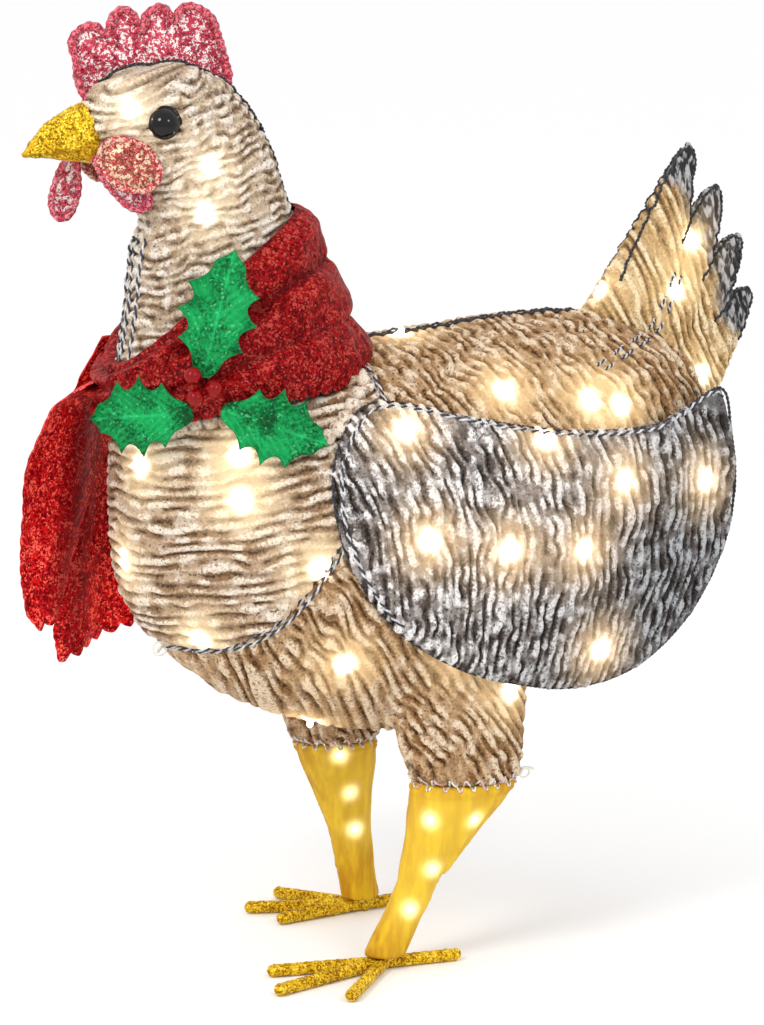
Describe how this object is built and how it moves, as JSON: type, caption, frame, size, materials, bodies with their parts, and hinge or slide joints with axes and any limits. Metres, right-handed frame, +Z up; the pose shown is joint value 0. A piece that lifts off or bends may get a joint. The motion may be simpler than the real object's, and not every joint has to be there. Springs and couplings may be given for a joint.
{
  "type": "lighted hen decoration",
  "caption": "Standing lighted hen yard decoration of ribbed fabric over wire frames, with red comb and wattles, yellow beak and legs, glitter scarf and holly.",
  "frame": {"origin": "centre of the bounding box in plan, on the floor the feet stand on", "axes": "+Z up, -Y the way the hen faces, +X its left side, where the holly is"},
  "size_m": [0.2996, 0.6164, 0.762],
  "materials": {
    "wrapped_fabric": "ribbed two-tone cloth wound over wire, matt",
    "cream_fabric": "puffed cream cloth with brown recesses, matt",
    "grey_fabric": "grey and white ribbed cloth, matt",
    "comb_mesh": "red glitter mesh on a wire rim",
    "wattle_mesh": "pale red glitter mesh on a wire rim",
    "beak_fabric": "yellow glitter cloth",
    "eye_bead": "polished black",
    "scarf_cloth": "deep red glitter cloth",
    "leaf_foil": "embossed green foil cloth",
    "berry_gloss": "glossy red bead",
    "shank_fabric": "stretched yellow cloth over wire",
    "foot_glitter": "gold glitter wound round rod",
    "edging_cord": "black and white twisted cord along the panel edges",
    "lamp_glass": "warm white mini lamp, clear"
  },
  "bodies": {
    "root": {"trunk": "wrapped_fabric", "tail": "wrapped_fabric", "breast": "cream_fabric", "head_and_neck": "cream_fabric", "wing_left": "grey_fabric", "wing_right": "grey_fabric", "comb": "comb_mesh", "cheek_left": "wattle_mesh", "cheek_right": "wattle_mesh", "wattle_left": "wattle_mesh", "wattle_right": "wattle_mesh", "beak": "beak_fabric", "eye_left": "eye_bead", "eye_right": "eye_bead", "scarf": "scarf_cloth", "holly_leaf_top": "leaf_foil", "holly_leaf_front": "leaf_foil", "holly_leaf_rear": "leaf_foil", "holly_berry_1": "berry_gloss", "holly_berry_2": "berry_gloss", "holly_berry_3": "berry_gloss", "shank_left": "shank_fabric", "shank_right": "shank_fabric", "foot_left": "foot_glitter", "foot_right": "foot_glitter"}
  },
  "joints": []
}
